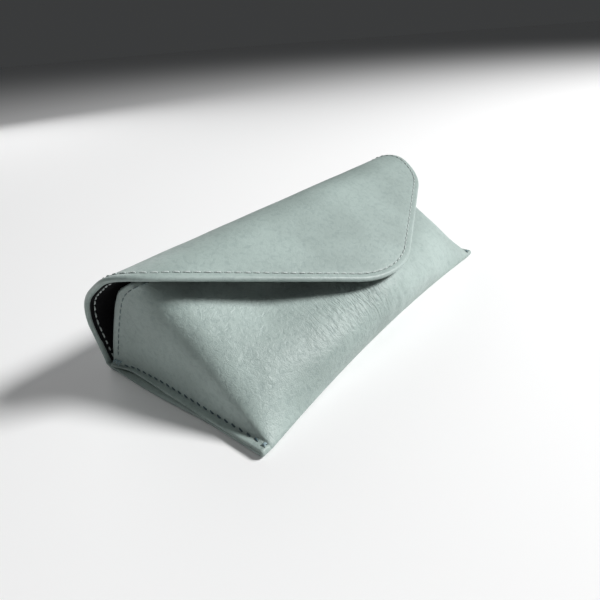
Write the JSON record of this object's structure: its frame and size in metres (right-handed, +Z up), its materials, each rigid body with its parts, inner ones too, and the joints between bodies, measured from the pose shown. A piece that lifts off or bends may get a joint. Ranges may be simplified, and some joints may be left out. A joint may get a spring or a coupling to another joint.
{
  "type": "eyeglasses case",
  "caption": "Soft envelope-style eyeglasses case: a padded pouch on a flat base, closed by a rolled back and a pointed magnetic flap.",
  "frame": {"origin": "middle of the base's underside, which rests on the table", "axes": "+X along the case, +Y from the bottom fold to the hinge side, +Z up"},
  "size_m": [0.171, 0.0819, 0.0475],
  "materials": {
    "grey_green_leather": "fine-grained satin leather, sage grey-green",
    "black_lining": "matte black microfibre",
    "edge_thread": "pale grey-green sewing thread",
    "seam_thread": "blue-grey sewing thread",
    "stiffener_board": "pressed fibre board",
    "foam": "thin soft foam",
    "magnet_steel": "nickel-plated disc"
  },
  "bodies": {
    "pouch": {"back_panel": "grey_green_leather", "base_board": "stiffener_board", "base_lining": "black_lining", "front_panel": "grey_green_leather", "front_padding": "foam", "front_lining": "black_lining", "front_magnet": "magnet_steel", "mouth_hem_thread": "edge_thread", "left_seam_thread": "seam_thread", "right_seam_thread": "seam_thread", "left_bartack": "seam_thread", "right_bartack": "seam_thread"},
    "spine": {"spine_panel": "grey_green_leather", "spine_lining": "black_lining", "spine_edge_thread": "edge_thread"},
    "flap": {"flap_panel": "grey_green_leather", "flap_stiffener": "stiffener_board", "flap_lining": "black_lining", "flap_magnet": "magnet_steel", "flap_edge_thread": "edge_thread"}
  },
  "joints": [
    {"name": "spine_hinge", "type": "hinge", "parent": "pouch", "child": "spine", "pos_m": [0, 0.04, 0], "axis": [-1, 0, 0], "range_deg": [0, 80]},
    {"name": "flap_fold", "type": "hinge", "parent": "spine", "child": "flap", "pos_m": [0, 0.012, 0.0475], "axis": [-1, 0, 0], "range_deg": [0, 120]}
  ]
}
